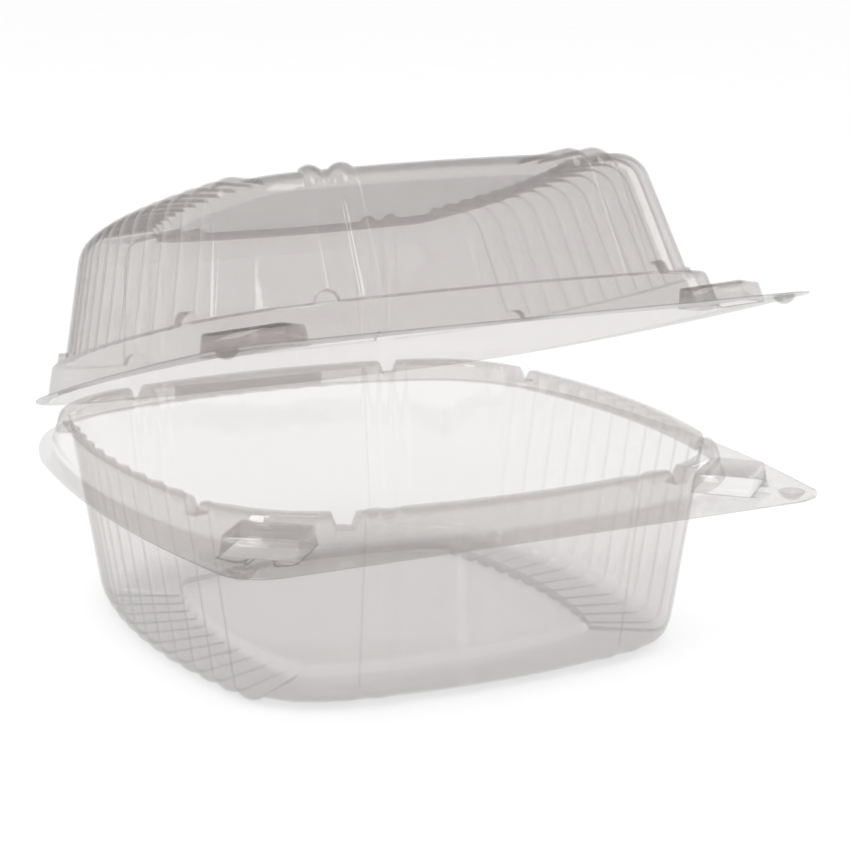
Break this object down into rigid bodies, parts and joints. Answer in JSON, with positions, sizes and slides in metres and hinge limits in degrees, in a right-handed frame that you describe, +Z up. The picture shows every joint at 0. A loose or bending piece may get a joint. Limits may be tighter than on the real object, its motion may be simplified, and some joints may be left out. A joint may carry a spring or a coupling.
{
  "type": "hinged clamshell container",
  "caption": "Clear thin-sheet food clamshell: fluted square tray with a raised sealing rim and a matching domed lid on a flexible back hinge.",
  "frame": {"origin": "middle of the tray's footprint box, on the plane that the tray's feet stand on", "axes": "+Z up; +Y towards the hinge, so the locking front faces -Y; X along the hinge line"},
  "size_m": [0.1468, 0.1514, 0.1092],
  "materials": {
    "clear_sheet": "gloss"
  },
  "bodies": {
    "tray": {"base_tray": "clear_sheet"},
    "lid": {"lid": "clear_sheet"}
  },
  "joints": [
    {"name": "lid_hinge", "type": "hinge", "parent": "tray", "child": "lid", "pos_m": [0, 0.07524, 0.0406], "axis": [-1, 0, 0], "range_deg": [-16.5, 163.5]}
  ]
}
